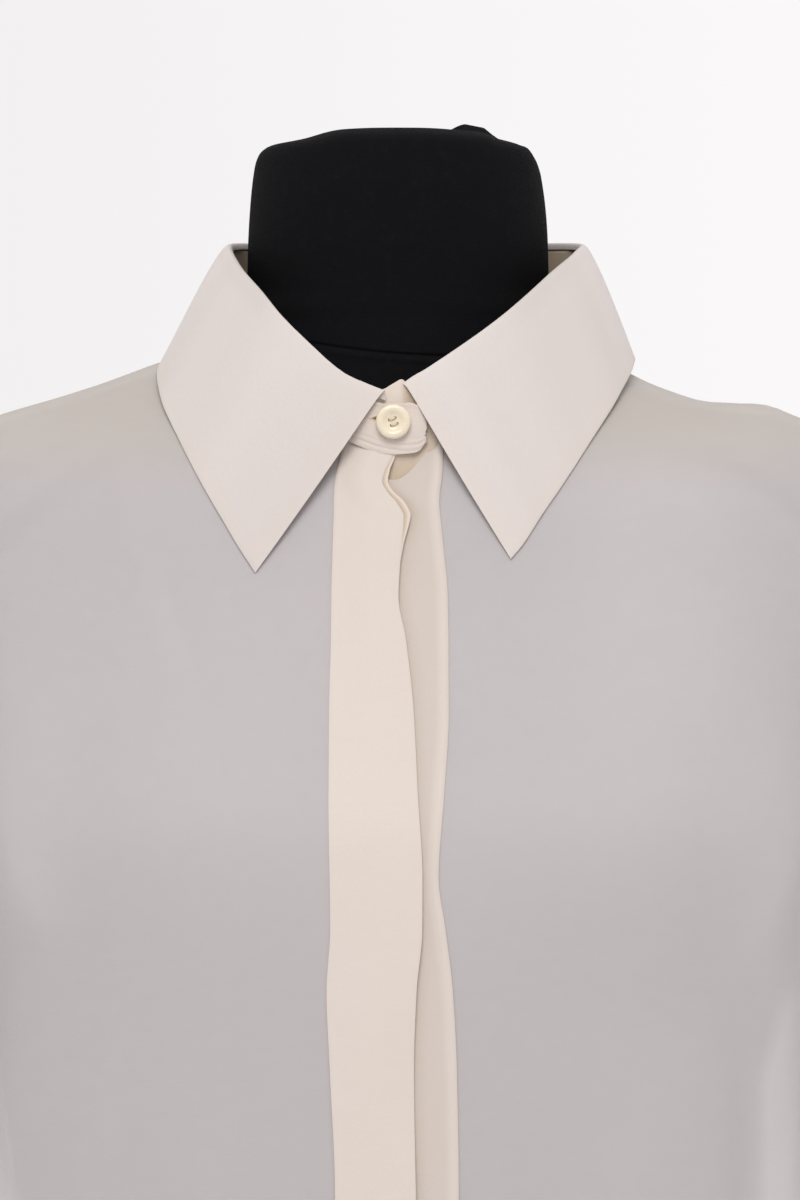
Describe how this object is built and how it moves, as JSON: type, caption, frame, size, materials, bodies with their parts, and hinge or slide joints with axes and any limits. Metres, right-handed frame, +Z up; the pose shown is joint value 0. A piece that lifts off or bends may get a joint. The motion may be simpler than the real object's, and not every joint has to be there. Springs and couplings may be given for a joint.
{
  "type": "silk blouse on dress form",
  "caption": "Long-sleeved silk blouse with a pointed collar on a buttoned stand and a hidden front closing, worn by a black limbless dress form on a pole with a round base.",
  "frame": {"origin": "centre of the stand base's flat underside", "axes": "+Z up, the blouse faces -Y, +X is the wearer's left"},
  "size_m": [0.5164, 0.35, 1.297],
  "materials": {
    "silk": "matt cream silk crepe, thin enough that the black form shows through one layer",
    "button": "polished cream",
    "jersey": "matt black stretch jersey",
    "stand": "satin black"
  },
  "bodies": {
    "root": {"front_right": "silk", "front_left": "silk", "back": "silk", "sleeve_right": "silk", "sleeve_left": "silk", "cuff_right": "silk", "cuff_left": "silk", "placket_top": "silk", "placket_under": "silk", "collar_stand": "silk", "collar": "silk", "collar_button": "button", "cuff_button_right": "button", "cuff_button_left": "button", "form_torso": "jersey", "stand_pole": "stand", "stand_base": "stand"}
  },
  "joints": []
}
